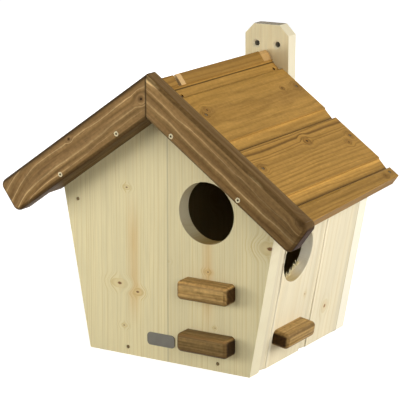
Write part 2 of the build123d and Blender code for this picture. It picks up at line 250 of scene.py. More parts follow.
# %% [markdown]
# ## How wood gets its figure
# A board is a slice of a tree. Its lines are growth rings, cylinders around the pith, and they run through the
# whole board, so the end of a board shows the same rings as its face. We give each board a "grain" attribute:
# every point's distance from the pith across and in depth, and its place along the trunk. The shader measures
# the radius from it, lets it wander a little, and divides it by the ring spacing. A knot pulls the lines aside,
# as a branch does in the tree. An image could not follow the rings round the edges as this does.

# %% Growth rings: the group and its sockets
rings = bpy.data.node_groups.new("pine_growth_rings", "ShaderNodeTree")
for name in ("Ring spacing", "Wander", "Fibre width", "Knot spread"):
    rings.interface.new_socket(name, in_out="INPUT", socket_type="NodeSocketFloat")
for name in ("Ring", "Ring strength", "Fibre", "Cloud", "Rough", "Knot", "Knot shade", "Near knot", "Streak",
             "Band", "Figure", "Bare", "Pore"):
    rings.interface.new_socket(name, in_out="OUTPUT", socket_type="NodeSocketFloat")
size = add(rings, "NodeGroupInput").outputs
found = {}  # what the group gives out
grain = add(rings, "Attribute", attribute_name="grain").outputs["Vector"]
print(len(rings.interface.items_tree), "sockets")

# %% [markdown]
# First the lines swerve: "bend" holds the place along the board where they start to curve and how strongly. Then
# up to four knots draw the grain towards their middle. Each knot's attribute holds its place and, in the fourth
# number, its radius. A rough noise keeps a knot from being a perfect oval.

# %% Growth rings: bend and knots
SOFTLY = {"interpolation_type": "SMOOTHSTEP"}

bend = add(rings, "Attribute", attribute_name="bend").outputs["Vector"]
bend = add(rings, "SeparateXYZ", [bend]).outputs
place = add(rings, "SeparateXYZ", [grain]).outputs
past = add(rings, "Math", [place["Z"], bend["X"]], operation="SUBTRACT")
past = add(rings, "Math", [past, 0.0], operation="MAXIMUM")
past = add(rings, "Math", [past, 2.0], operation="POWER")
swerve = add(rings, "Math", [past, bend["Y"], place["X"]], operation="MULTIPLY_ADD")
drawn = add(rings, "CombineXYZ", [swerve, place["Y"], place["Z"]])
stretch = add(rings, "CombineXYZ", [size["Knot spread"], 0.45, 0.9])
rough = add(rings, "TexNoise", {"Vector": grain, "Scale": 1 / (4.0 * MM), "Detail": 2.0})
heart, shade, nearest = 0.0, 0.0, 99.0
for number in (1, 2, 3, 4):
    knot = add(rings, "Attribute", attribute_name=f"knot_{number}").outputs
    reach = add(rings, "VectorMath", [drawn, knot["Color"]], operation="SUBTRACT")
    reach = add(rings, "VectorMath", [reach, stretch], operation="MULTIPLY")
    reach = add(rings, "VectorMath", [reach], operation="LENGTH").outputs["Value"]
    reach = add(rings, "Math", [reach, knot["Alpha"]], operation="DIVIDE")
    reach = add(rings, "Math", [rough, 0.7, reach], operation="MULTIPLY_ADD")
    nearest = add(rings, "Math", [reach, nearest], operation="MINIMUM")
    pull = add(rings, "MapRange", [reach, 2.5, 9.0, 0.8, 0.0], interpolation_type="SMOOTHERSTEP")
    drawn = add(rings, "Mix", {0: pull, 4: drawn, 5: knot["Color"]}, data_type="VECTOR").outputs[1]
    dark = add(rings, "MapRange", [reach, 0.95, 1.5, 1.0, 0.0], **SOFTLY)
    warm = add(rings, "MapRange", [reach, 1.1, 3.6, 1.0, 0.0], **SOFTLY)
    heart = add(rings, "Math", [dark, heart], operation="MAXIMUM")
    shade = add(rings, "Math", [warm, shade], operation="MAXIMUM")
near = add(rings, "MapRange", [nearest, 3.0, 9.0, 1.0, 0.0])
found.update({"Rough": rough, "Near knot": near, "Knot": heart, "Knot shade": shade})
print(len(rings.nodes), "nodes after the knots")

# %% [markdown]
# Now the rings. The radius is the length of the first two numbers of the grain. A slow noise, stretched along
# the trunk, makes it wander, and a noise over the radius makes fat and lean years. Close to a knot the rings
# count from the knot instead. The fraction of a ring goes out to the colour ramp of each finish, and every ring
# gets its own strength.

# %% Growth rings: radius and years
flat = add(rings, "VectorMath", [drawn, (1, 1, 0)], operation="MULTIPLY")
radius = add(rings, "VectorMath", [flat], operation="LENGTH").outputs["Value"]
slow = add(rings, "VectorMath", [drawn, (1 / 0.045, 1 / 0.045, 1 / 0.16)], operation="MULTIPLY")
slow = add(rings, "TexNoise", {"Vector": slow, "Scale": 1.0, "Detail": 4.0, "Roughness": 0.5})
slow = add(rings, "Math", [slow, 0.5], operation="SUBTRACT")
radius = add(rings, "Math", [slow, size["Wander"], radius], operation="MULTIPLY_ADD")
years = add(rings, "Math", [radius, size["Ring spacing"]], operation="DIVIDE")
lean_years = add(rings, "TexNoise", {"W": years, "Scale": 0.37, "Detail": 1.0}, noise_dimensions="1D")
years = add(rings, "Math", [lean_years, 2.2, years], operation="MULTIPLY_ADD")
ring = add(rings, "Math", [years], operation="FRACT")
own = add(rings, "Math", [nearest, 0.25], operation="MULTIPLY")
own = add(rings, "Math", [own], operation="FRACT")
close = add(rings, "MapRange", [nearest, 4.6, 3.2, 0.0, 0.8], **SOFTLY)
found["Ring"] = add(rings, "Mix", {0: close, 2: ring, 3: own})
count = add(rings, "Math", [years], operation="FLOOR")
found["Ring strength"] = add(rings, "TexWhiteNoise", {"W": count}, noise_dimensions="1D").outputs["Value"]
print(len(rings.nodes), "nodes after the years")

# %% [markdown]
# Three more noises fill the wood between the rings: fibres, long and thin along the grain, pores, which are
# finer still, and broad clouds where the wood drank more or less. They differ in their stretch along the grain.

# %% Growth rings: fibres, clouds and pores
thread = add(rings, "Math", [1.0, size["Fibre width"]], operation="DIVIDE")
along = add(rings, "Math", [thread, 0.045], operation="MULTIPLY")
thread = add(rings, "CombineXYZ", [thread, thread, along])
for name, lines, fineness, settings in (
        ("Fibre", drawn, thread, {"Detail": 3.0, "Roughness": 0.6}),
        ("Cloud", grain, (1 / 0.03, 1 / 0.03, 1 / 0.11), {"Detail": 3.0}),
        ("Pore", drawn, (1 / 0.0016, 1 / 0.0016, 1 / 0.009), {"Detail": 1.0})):
    spot = add(rings, "VectorMath", [lines, fineness], operation="MULTIPLY")
    found[name] = add(rings, "TexNoise", {"Vector": spot, "Scale": 1.0, **settings})
found["Pore"] = add(rings, "MapRange", [found["Pore"], 0.62, 0.74, 0.0, 1.0])
print(len(rings.nodes), "nodes after the fibres")

# %% [markdown]
# A streak of resin follows the lines of the grain. Its attribute holds its place across the board, its half
# width, its strength and, in the fourth number, its middle along the board. A small function gives the strength
# of a stripe by the distance from its middle, and serves the bands below too.

# %% Growth rings: resin
def stripe(place, middle, inner, outer, strength):
    """Full strength up to the inner distance from a middle, nothing beyond the outer one."""
    aside = add(rings, "Math", [place, middle], operation="SUBTRACT")
    aside = add(rings, "Math", [aside], operation="ABSOLUTE")
    return add(rings, "MapRange", [aside, inner, outer, strength, 0.0], **SOFTLY)


resin = add(rings, "Attribute", attribute_name="streak").outputs
resin_at = add(rings, "SeparateXYZ", [resin["Color"]]).outputs
place = add(rings, "SeparateXYZ", [drawn]).outputs
across = stripe(place["X"], resin_at["X"], 0.0, resin_at["Y"], resin_at["Z"])
along = stripe(place["Z"], resin["Alpha"], 25 * MM, 85 * MM, 1.0)
found["Streak"] = add(rings, "Math", [across, along], operation="MULTIPLY")
print(len(rings.nodes), "nodes after the resin")

# %% [markdown]
# A band is a stripe of tone along the board, such as a rubbed lip, a joint full of glaze, painted shade in a
# recess or a painted highlight on a lip: it holds its middle, its half width and how much lighter or darker it is.
# "figure" is read in the same way, and says where the rings show fully and how much of them is left elsewhere.
# "bare" leaves the wood before a place without stain, with a ragged border.

# %% Growth rings: bands, figure and bare wood
place = add(rings, "SeparateXYZ", [grain]).outputs
found["Band"] = 0.0
for name in ("band_1", "band_2", "band_3", "figure"):
    band = add(rings, "Attribute", attribute_name=name).outputs["Vector"]
    band = add(rings, "SeparateXYZ", [band]).outputs
    within = stripe(place["X"], band["X"], 0.0, band["Y"], 1.0)
    if name == "figure":
        found["Figure"] = add(rings, "MapRange", {0: within, 3: band["Z"], 4: 1.0})
    else:
        found["Band"] = add(rings, "Math", [within, band["Z"], found["Band"]], operation="MULTIPLY_ADD")
bare = add(rings, "Attribute", attribute_name="bare").outputs["Vector"]
bare = add(rings, "SeparateXYZ", [bare]).outputs
beyond = add(rings, "Math", [place["Z"], bare["X"]], operation="SUBTRACT")
beyond = add(rings, "Math", [rough, 6.0 * MM, beyond], operation="MULTIPLY_ADD")
before = add(rings, "MapRange", [beyond, 3.0 * MM, 4.2 * MM, 1.0, 0.0], **SOFTLY)
found["Bare"] = add(rings, "Math", [before, bare["Y"]], operation="MULTIPLY")
add(rings, "NodeGroupOutput", found)
print(len(rings.nodes), "nodes in the growth rings")

# %% [markdown]
# ## The finishes of the wood
# All wood here is pine, and what differs is how it was left. Bare pine is pale cream with honey coloured late
# wood and a dry, even sheen. Stained pine took a brown glaze. Where it is thin, the late wood still shows as dark
# lines. On the barge boards the soft early wood drank more of it, and the hard late wood stayed lighter. The glaze
# also darkens the open pores of sawn ends. One recipe serves all of them, and each finish gives its own colours
# over a ring and its own sizes. The recipe first works out where each thing shows, and then lays the colours over
# each other in one loop, as coats.

# %% One recipe for all pine finishes
# Faces inside the house are painted darker, partly the dullness left by the saw and partly painted shade.
ROUGH_SAWN_AND_SHADE = "#a89a78"  # dulls the faces inside the house, left from the saw
UNSTAINED = "#d8b27a"  # where little stain was laid on
JOINT_DIRT = "#2a1d0f"
RELIEF = 0.35  # strength of the bump


def pine_finish(name, ring_colours, knot, knot_halo, streak, edge, end, narrow, spacing, wander, fibre, spread=1.0,
                contrast=1.0, evenness=0.45, fading=0.65, knot_figure=1.6, fibre_amount=0.10, cloud_amount=0.14,
                pore_amount=0.0, mottle=0.0, edge_amount=0.5, edge_from=0.99, edge_wear=0.0, narrow_amount=0.0,
                joint_dark=0.25, roughness=0.62, gloss=0.2):
    """A pine material. Ring colours are (fraction of a ring, colour), and sizes are millimetres."""
    material, tree = blank_material(name)
    wood = add(tree, "Group", {"Ring spacing": spacing * MM, "Wander": wander * MM, "Fibre width": fibre * MM,
                               "Knot spread": spread}, node_tree=rings).outputs
    ramp = add(tree, "ValToRGB", [wood["Ring"]])
    stops = ramp.color_ramp.elements
    while len(stops) < len(ring_colours):
        stops.new(0.5)
    for stop, (fraction, colour) in zip(stops, ring_colours):
        stop.position = fraction
        stop.color = linear(colour)
    # Rings come and go along a board: strong ones, faint ones, and a firmer figure around knots.
    visible = add(tree, "MapRange", {0: wood["Ring strength"], 3: evenness * contrast, 4: contrast})
    fade = add(tree, "MapRange", [wood["Cloud"], 0.3, 0.65, 1.0 - fading, 1.0])
    firm = add(tree, "Math", [wood["Near knot"], knot_figure, wood["Figure"]], operation="MULTIPLY_ADD")
    visible = add(tree, "Math", [visible, fade], operation="MULTIPLY")
    visible = add(tree, "Math", [visible, firm], operation="MULTIPLY", use_clamp=True)
    # Clouds of stain, fine fibres, patches and pores change the tone without hiding the rings.
    resin = add(tree, "Math", [wood["Streak"], fade], operation="MULTIPLY")
    clouds = add(tree, "MapRange", [wood["Cloud"], 0.25, 0.75, 1.0 - cloud_amount, 1.0 + cloud_amount])
    fibres = add(tree, "MapRange", [wood["Fibre"], 0.3, 0.7, 1.0 - fibre_amount, 1.0 + fibre_amount])
    pores = add(tree, "MapRange", {0: wood["Pore"], 3: 1.0, 4: 1.0 - pore_amount})
    patches = add(tree, "MapRange", [wood["Rough"], 0.3, 0.7, 1.0 - mottle, 1.0 + mottle])
    light = clouds
    for change in (fibres, add(tree, "Attribute", attribute_name="tone").outputs["Fac"], pores, patches):
        light = add(tree, "Math", [light, change], operation="MULTIPLY")
    halo = add(tree, "Math", [wood["Knot shade"], 0.45], operation="MULTIPLY")
    # "facing" tells which way a face lies on its board: narrow edge, broad side or sawn end.
    facing = add(tree, "Attribute", attribute_name="facing").outputs["Vector"]
    facing = add(tree, "SeparateXYZ", [facing]).outputs
    squarest = add(tree, "Math", [facing["X"], facing["Y"]], operation="MAXIMUM")
    squarest = add(tree, "Math", [squarest, facing["Z"]], operation="MAXIMUM")
    rounded = add(tree, "MapRange", [squarest, edge_from, edge_from - 0.05, 0.0, edge_amount])
    wear = add(tree, "MapRange", [wood["Rough"], 0.40, 0.58, 1.0 - edge_wear, 1.0])
    rounded = add(tree, "Math", [rounded, wear], operation="MULTIPLY")
    beside = add(tree, "MapRange", [facing["X"], 0.85, 0.97, 0.0, narrow_amount])
    sawn = add(tree, "MapRange", [facing["Z"], 0.75, 0.97, 0.0, 1.0])
    bands = add(tree, "Math", [wood["Band"], 1.0], operation="ADD")
    # "inside" takes the faces inside the house, which get painted shade along with the saw's dullness.
    inside = add(tree, "Attribute", attribute_name="inside").outputs["Fac"]
    raw = add(tree, "VectorMath", {0: linear(UNSTAINED)[:3], 3: patches}, operation="SCALE")
    # "gap" is the distance to a joint with the next board, where dirt and glaze draw a dark line.
    gap = add(tree, "Attribute", attribute_name="gap").outputs["Fac"]
    gap = add(tree, "MapRange", [gap, 0.3 * MM, 1.5 * MM, joint_dark, 0.0])
    colour = linear(ring_colours[0][1])
    for amount, coat, blend in (
            (visible, ramp, "MIX"), (resin, linear(streak), "MULTIPLY"), (1.0, light, "MULTIPLY"),
            (halo, linear(knot_halo), "MULTIPLY"), (wood["Knot"], linear(knot), "MIX"),
            (rounded, linear(edge), "MIX"), (beside, linear(narrow), "MIX"), (1.0, bands, "MULTIPLY"),
            (inside, linear(ROUGH_SAWN_AND_SHADE), "MULTIPLY"), (sawn, linear(end), "MULTIPLY"),
            (wood["Bare"], raw, "MIX"), (gap, linear(JOINT_DIRT), "MIX")):
        colour = add(tree, "Mix", {0: amount, 6: colour, 7: coat}, data_type="RGBA", blend_type=blend).outputs[2]
    # Late wood stands a little proud of the planed face, and every fibre leaves a fine ridge.
    height = add(tree, "Math", [wood["Fibre"], 0.6, wood["Ring"]], operation="MULTIPLY_ADD")
    bump = add(tree, "Bump", {"Height": height, "Strength": RELIEF, "Distance": 0.12 * MM})
    dull = add(tree, "MapRange", [wood["Fibre"], 0.3, 0.7, roughness + 0.06, roughness - 0.06])
    shader = add(tree, "BsdfPrincipled", {"Base Color": colour, "Roughness": dull, "Normal": bump, "IOR": 1.45,
                                          "Specular IOR Level": gloss})
    add(tree, "OutputMaterial", {"Surface": shader})
    return material


print("recipe ready")

# %% [markdown]
# Six finishes come from the recipe. Widths of rings and fibres are in millimetres, as read on the boards. Real
# fibres are finer than a pixel of the picture, so they are drawn 2 to 3 mm wide to show at all.

# %% The finishes
finishes = {
    # Planed front panel: cream, fine upright lines, half matt.
    "front_pine": pine_finish(
        "planed_pine_front", [(0.0, "#e4d7aa"), (0.5, "#e1d2a2"), (0.85, "#cfb87d"), (1.0, "#e4d7aa")],
        knot="#7d5835", knot_halo="#f2e2c2", streak="#ecc48a", edge="#ece0bd", end="#e8d9b6", narrow="#ece2c4",
        spacing=4.4, wander=6.0, fibre=2.2, spread=0.5, contrast=0.75, fibre_amount=0.045, cloud_amount=0.05,
        narrow_amount=0.75),
    # Profile boards of the walls: paler, wide faint rings. Their narrow faces, the risers of the profile, are
    # painted near white as painted light that lifts their shade.
    "wall_pine": pine_finish(
        "planed_pine_walls", [(0.0, "#ece0c1"), (0.5, "#e9dcba"), (0.88, "#dcc99c"), (1.0, "#ece0c1")],
        knot="#93673f", knot_halo="#ecd2a6", streak="#f0d4a4", edge="#f0e6cc", end="#eaddbd", narrow="#fdf6e0",
        spacing=6.5, wander=9.0, fibre=2.4, contrast=0.7, cloud_amount=0.05, fibre_amount=0.04, narrow_amount=1.0),
    # Hanging board: bare, straight grained, its sawn top gone grey.
    "planed_pine": pine_finish(
        "planed_pine_hanging", [(0.0, "#eadcb2"), (0.5, "#e8d8aa"), (0.88, "#dcc796"), (1.0, "#eadcb2")],
        knot="#8a5f3a", knot_halo="#e6c79a", streak="#e9c48e", edge="#eee5cc", end="#8f8873", narrow="#ece4cc",
        spacing=6.0, wander=6.0, fibre=2.2, contrast=0.6, cloud_amount=0.05, fibre_amount=0.04, narrow_amount=0.7,
        joint_dark=0.62),
    # Roof: golden brown glaze, grain showing through as darker lines, paler where edges were sanded.
    "roof_stain": pine_finish(
        "stained_pine_roof", [(0.0, "#b28844"), (0.45, "#ad823e"), (0.82, "#6b4b20"), (1.0, "#b28844")],
        knot="#44301a", knot_halo="#a8824c", streak="#a5803f", edge="#bd8e48", end="#7d5d38", narrow="#8a6530",
        spacing=5.0, wander=9.0, fibre=3.0, roughness=0.5, contrast=1.3, pore_amount=-0.16, fibre_amount=0.15,
        cloud_amount=0.08, mottle=0.07, edge_amount=0.35, evenness=0.8, fading=0.35, knot_figure=0.35, gloss=0.06,
        narrow_amount=0.5),
    # Barge boards and battens: darker glaze, pale late wood in thin flowing lines, and rounded edges and narrow
    # faces painted dark, partly glaze gathered there and partly painted shade.
    "barge_stain": pine_finish(
        "stained_pine_barge", [(0.0, "#8b6d43"), (0.4, "#6d512c"), (0.82, "#896b43"), (0.91, "#bfa16e"),
                               (0.97, "#896b43"), (1.0, "#8b6d43")],
        knot="#2e2011", knot_halo="#7c5e38", streak="#e0c090", edge="#4d381c", end="#7a5c36", narrow="#5d4524",
        spacing=9.0, wander=20.0, fibre=3.2, roughness=0.5, contrast=1.5, pore_amount=0.25, edge_amount=0.75,
        edge_from=0.999, edge_wear=0.3, fibre_amount=0.28, mottle=0.12, narrow_amount=0.6, fading=0.8,
        knot_figure=0.5, joint_dark=0.85, gloss=0.06),
    # Steps: thick glaze over narrow rings, dark where it gathered along the edges. Their sawn ends are painted
    # dark, as glaze in the end grain and as painted shade.
    "step_stain": pine_finish(
        "stained_pine_steps", [(0.0, "#a28350"), (0.45, "#947542"), (0.8, "#684b25"), (1.0, "#a28350")],
        knot="#382512", knot_halo="#7c5e38", streak="#7a5a34", edge="#5c4224", end="#5a4c39", narrow="#a8813f",
        spacing=4.2, wander=6.0, fibre=3.4, roughness=0.5, pore_amount=0.3, edge_amount=0.6, edge_wear=0.55,
        fibre_amount=0.34, mottle=0.16, gloss=0.1),
}
print(list(finishes))

# %% [markdown]
# ## From a solid to a board
# A planed board has edges broken with a pass of sandpaper, which is what makes it catch the light. Each CAD
# solid is copied, its loose triangles are merged, and its long sharp edges get a small rounded bevel. A copy of
# the solid keeps every groove and nail hole in place, which a board modelled again by hand might not.

# %% Copying a solid with eased edges
SMOOTH, SQUARE = math.radians(35), math.radians(55)  # bends shaded as one face, and corners that get eased
RIM_REACH = 1.2 * MM

body_of = {node: body for body, nodes in frame["record"]["behaviour"]["bodies"].items() for node in nodes}
slot_of = {part["node"]: part["material_slot"] for part in frame["record"]["subparts"]}


def eased_copy(node, ease, rims=(), shortest=9.0 * MM):
    """A merged copy of a CAD solid with bevelled long edges. Rims are (centre, radius) of round holes."""
    shape = bmesh.new()
    shape.from_mesh(frame["nodes"][node].data)
    bmesh.ops.remove_doubles(shape, verts=shape.verts, dist=1e-6)
    bmesh.ops.dissolve_limit(shape, angle_limit=math.radians(1.0), verts=shape.verts, edges=shape.edges)
    weight = shape.edges.layers.float.new("bevel_weight_edge")
    for face in shape.faces:
        face.smooth = True
    for edge in shape.edges:
        angle, length = edge.calc_face_angle(0.0), edge.calc_length()
        edge.smooth = angle < SMOOTH
        middle = (edge.verts[0].co + edge.verts[1].co) / 2
        on_rim = any(abs((middle - centre).length - radius) < RIM_REACH for centre, radius in rims)
        room = min((face.calc_area() for face in edge.link_faces), default=0.0) / length
        if edge.is_convex and angle > SQUARE and room > 1.05 * ease and (length > shortest or on_rim):
            edge[weight] = 1.0
    mesh = bpy.data.meshes.new(node + "_rough")
    shape.to_mesh(mesh)
    shape.free()
    copy = into_scene(node + "_rough", mesh)
    bevel = copy.modifiers.new("eased_edges", "BEVEL")
    bevel.limit_method = "WEIGHT"
    bevel.width = ease
    bevel.segments = 2 if ease < 1.0 * MM else 4
    bevel.use_clamp_overlap = False
    bevel.harden_normals = True
    eased = bpy.data.meshes.new_from_object(copy.evaluated_get(bpy.context.evaluated_depsgraph_get()))
    bpy.data.objects.remove(copy)
    bpy.data.meshes.remove(mesh)
    return eased


print(len(body_of), "solids ride on", sorted(set(body_of.values())))

# %% [markdown]
# The board now learns where it lay in the tree and how it was finished. "grain" is (across, depth, along) from
# the pith, and "facing" says how a face lies. "gap" is the distance to a joint on the middle line, and zero in a
# bore. "inside" marks the faces away from the show face, and "tone" makes a board lighter or darker, if
# need be from one end to the other. The other attributes hold one value for the whole board.

# %% Writing the grain on a board
NOWHERE = 9000.0  # millimetres, far off every board
NO_KNOT = (9.0, 9.0, 9.0, 0.001)
NO_BAND = (NOWHERE, 1.0, 0.0)
FIELDS = {"FLOAT": "value", "FLOAT_VECTOR": "vector", "FLOAT_COLOR": "color"}


def calm(strength):
    """A figure with rings of the same strength all over the board."""
    return (NOWHERE, 1.0, strength)


def write(mesh, name, kind, values, domain="POINT"):
    """Writes a list of numbers as an attribute, or one tuple for all points."""
    if isinstance(values, tuple):
        values = values * len(mesh.vertices)
    mesh.attributes.new(name, kind, domain).data.foreach_set(FIELDS[kind], values)


def board(node, origin, along, across, pith, start, knots=(), bend=(NOWHERE, 0.0), streak=(NOWHERE, 1.0, 0.0, 0.0),
          tone=1.0, ease=0.6, rims=(), bands=(), figure=calm(1.0), bare=(-NOWHERE, 0.0), show=None, joint=None,
          bores=()):
    """Replaces a CAD solid by a wooden board. Sizes are millimetres from the origin on the board's show face."""
    mesh = eased_copy(node, ease * MM, rims)
    mesh.name = node + "_wood"
    depth = along.cross(across)
    heart = at(pith[0], pith[1], -start)
    ways = [vertex.co - origin for vertex in mesh.vertices]
    grain = [Vector((way @ across, way @ depth, way @ along)) - heart for way in ways]
    write(mesh, "grain", "FLOAT_VECTOR", [number for point in grain for number in point])
    write(mesh, "facing", "FLOAT_VECTOR",
          [abs(face.normal @ axis) for face in mesh.polygons for axis in (across, depth, along)], "FACE")
    spots = [(side * MM - heart.x, -heart.y, up * MM - heart.z, size * MM) for side, up, size in knots]
    for number, spot in zip((1, 2, 3, 4), spots + [NO_KNOT] * 4):
        write(mesh, f"knot_{number}", "FLOAT_COLOR", spot)
    write(mesh, "bend", "FLOAT_VECTOR", (bend[0] * MM - heart.z, bend[1], 0.0))
    write(mesh, "bare", "FLOAT_VECTOR", (bare[0] * MM - heart.z, bare[1], 0.0))
    write(mesh, "streak", "FLOAT_COLOR",
          (streak[0] * MM - heart.x, streak[1] * MM, streak[2], streak[3] * MM - heart.z))
    stripes = zip(("band_1", "band_2", "band_3", "figure"), (list(bands) + [NO_BAND] * 3)[:3] + [figure])
    for name, (middle, half, amount) in stripes:
        write(mesh, name, "FLOAT_VECTOR", (middle * MM - heart.x, half * MM, amount))
    gaps = []
    for face in mesh.polygons:
        flat = Vector((face.center.x, 0, face.center.z))
        in_bore = any((flat - middle).length < reach for middle, reach in bores)
        for corner in face.vertices:
            away = abs(mesh.vertices[corner].co @ joint) if joint else NOWHERE * MM
            gaps.append(0.0 if in_bore else away)
    write(mesh, "gap", "FLOAT", gaps, "CORNER")
    write(mesh, "inside", "FLOAT",
          [float(face.normal @ show < -0.9) if show else 0.0 for face in mesh.polygons], "FACE")
    first, last = tone if isinstance(tone, tuple) else (tone, tone)
    places = [way @ along for way in ways]
    low, high = min(places), max(places)
    write(mesh, "tone", "FLOAT", [first + (last - first) * (spot - low) / (high - low) for spot in places])
    mesh.materials.clear()
    mesh.materials.append(finishes[slot_of[node]])
    piece = into_scene(node + "_wood", mesh)
    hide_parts(node)
    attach(piece, body_of[node])


print("boards take", list(finishes))

# %% [markdown]
# ## Front and back panels
# Two upright boards are glued on the middle line. Their lines are straight and fine, so the pith lay far to the
# side. The left board has a wide oval knot with the grain flowing round it and a streak of resin.

# %% Front and back panels
front_at, rear_at = at(0, FRONT, 0), at(0, REAR, 0)
hole_front = [(at(ENTRANCE_X, y, ENTRANCE_Z), ENTRANCE_RADIUS * MM) for y in (FRONT, FRONT + PANEL)]
board("front_left_board", front_at, UP, RIGHT, pith=(210, 60), start=400, streak=(-46, 12, 0.7, 112), show=-BACK,
      joint=RIGHT, ease=0.4,
      knots=[(-64.5, 83, 1.6), (-40.3, 76.2, 1.2), (-58.9, 34, 0.7), (-53.8, 195.8, 0.8)])
# The right board is set a little darker, partly a difference between the boards and partly painted shade for the
# light falling off to the right.
board("front_right_board", front_at, UP, RIGHT, pith=(-250, 40), start=1300, tone=0.94, rims=hole_front,
      streak=(52, 11, 0.5, 118), show=-BACK, joint=RIGHT, ease=0.4,
      knots=[(130.4, 150, 2.1), (-1.2, 117.8, 0.6), (61.5, 50, 0.5), (52.4, 113, 0.7)])
board("back_left_board", rear_at, UP, RIGHT, pith=(60, 90), start=2100, knots=[(-60, 140, 3), (-35, 60, 1.5)],
      show=BACK, joint=RIGHT)
board("back_right_board", rear_at, UP, RIGHT, pith=(-200, 70), start=2900, knots=[(70, 90, 2)], show=BACK,
      joint=RIGHT)

# %% [markdown]
# ## Walls, floor and ledger
# The walls are tongued profile boards that stand along the lean. The left wall hangs on two nails and swings
# out, so its boards and the ledger inside ride on their own body.

# %% Walls, floor and ledger
LEFT_WALL_OUT = -9.4  # the swinging wall stands a little further in

wall_right, wall_left = on_wall(1, 0, 0, 0), on_wall(-1, 0, 0, LEFT_WALL_OUT)
hole_side = [(on_wall(1, SIDE_ENTRANCE_BACK, SIDE_ENTRANCE_UP, out), SIDE_ENTRANCE_RADIUS * MM)
             for out in (0, -WALL_BOARD)]
# The wall bands paint shade into the deep side of each recess and painted light on the strip beside each riser. The
# rear boards are also a little darker by their rear edge.
board("right_wall_front_board", wall_right, UP_WALL[1], BACK, pith=(60, -55), start=300, rims=hole_side, ease=1.0,
      knots=[(101.3, 74, 0.9)], show=OFF_WALL[1], bands=[(26, 11, -0.1), (38.5, 3.5, 0.1)])
board("right_wall_rear_board", wall_right, UP_WALL[1], BACK, pith=(210, -60), start=900, show=OFF_WALL[1],
      ease=1.4, knots=[(160, 43.5, 2.3)], bands=[(118, 11, -0.1), (130.5, 3.5, 0.1), (198, 7, -0.1)])
board("left_wall_front_board", wall_left, UP_WALL[-1], BACK, pith=(50, 70), start=1500, knots=[(70, 120, 2)],
      show=OFF_WALL[-1], ease=0.7, bands=[(26, 11, -0.1), (38.5, 3.5, 0.1)])
board("left_wall_rear_board", wall_left, UP_WALL[-1], BACK, pith=(200, 60), start=2300, knots=[(150, 60, 1.5)],
      show=OFF_WALL[-1], ease=0.7, bands=[(118, 11, -0.1), (130.5, 3.5, 0.1), (204, 5, -0.1)])
board("left_wall_ledger", wall_left, BACK, UP_WALL[-1], pith=(60, 40), start=200)
board("floor_board", Vector((0, 0, 0)), RIGHT, BACK, pith=(20, -80), start=700, knots=[(60, 20, 3)])

# %% [markdown]
# ## Roof and ridge
# The roof boards lie across the slope with their grain from front to back. The upper board is calm, and the
# lower one shows straight dark stripes. Bands of tone follow the boards: the lip before each recess is painted
# pale, partly glaze rubbed thin and partly a painted highlight, and the recess below it is painted dark, partly
# glaze gathered in the joint and partly painted shade. The strip along the ridge is a separate board with a
# bare end, and the short block behind it took only a little stain.

# %% Roof and ridge
ridge_at = at(0, 0, RIDGE)
# The lip bands paint a highlight along with the rubbed glaze, and the recess bands paint shade along with the
# gathered glaze.
for name, side, start in (("right", 1, 0), ("left", -1, 5000)):
    slope, rise = DOWN_ROOF[side], OFF_ROOF[side]
    board(f"roof_{name}_top_strip", ridge_at, BACK, slope, pith=(-60, 30), start=start + 300, show=rise,
          bands=[(24, 1.8, -0.5), (10.3, 1.4, -0.85)], figure=calm(0.2))
    board(f"roof_{name}_upper_board", ridge_at, BACK, slope, pith=(60, 75), start=start + 900, show=rise,
          bands=[(97.5, 3.6, 0.28), (112, 8.5, -0.75)], figure=calm(0.3), tone=1.05,
          knots=[(50.7, 84.8, 1.3), (48.6, -80.5, 1.5), (UPPER_ROW, REAR_LINE, 1.5), (UPPER_ROW, FRONT_LINE, 1.5)])
    board(f"roof_{name}_lower_board", ridge_at, BACK, slope, pith=(40, 45), start=start + 1700, show=rise,
          bands=[(185.5, 3.6, 0.28), (200, 8.5, -0.75), (112, 1.6, 0.15)], figure=(122, 17, 0.45), tone=1.05,
          knots=[(129.1, 28.8, 1.8), (149.9, 99.9, 1.4), (LOWER_ROW, REAR_LINE, 1.5), (LOWER_ROW, FRONT_LINE, 1.5)])
    board(f"roof_{name}_eave_strip", ridge_at, BACK, slope, pith=(120, 60), start=start + 2500, tone=0.83,
          show=rise, bands=[(200, 1.6, 0.15)], figure=calm(0.4), knots=[(209, 100, 1.0)])
board("ridge_strip", ridge_at, BACK, DOWN_ROOF[1], pith=(-40, 20), start=3300, tone=0.62, bare=(-71.0, 1.0),
      figure=calm(0.6))
board("ridge_front_block", ridge_at, BACK, DOWN_ROOF[1], pith=(-45, 25), start=3900, tone=0.72)
board("ridge_rear_block", ridge_at, BACK, DOWN_ROOF[1], pith=(-50, 30), start=4300, bare=(NOWHERE, 0.5), ease=3.0)

# %% [markdown]
# ## Barge boards and battens
# The two boards that close the gable carry the boldest grain: broad brown bands with thin pale lines, which
# curve down towards the lower end of the left board. Their long edges are well rounded.

# %% Barge boards and battens
gable_at = at(0, BARGE_FRONT, RIDGE)
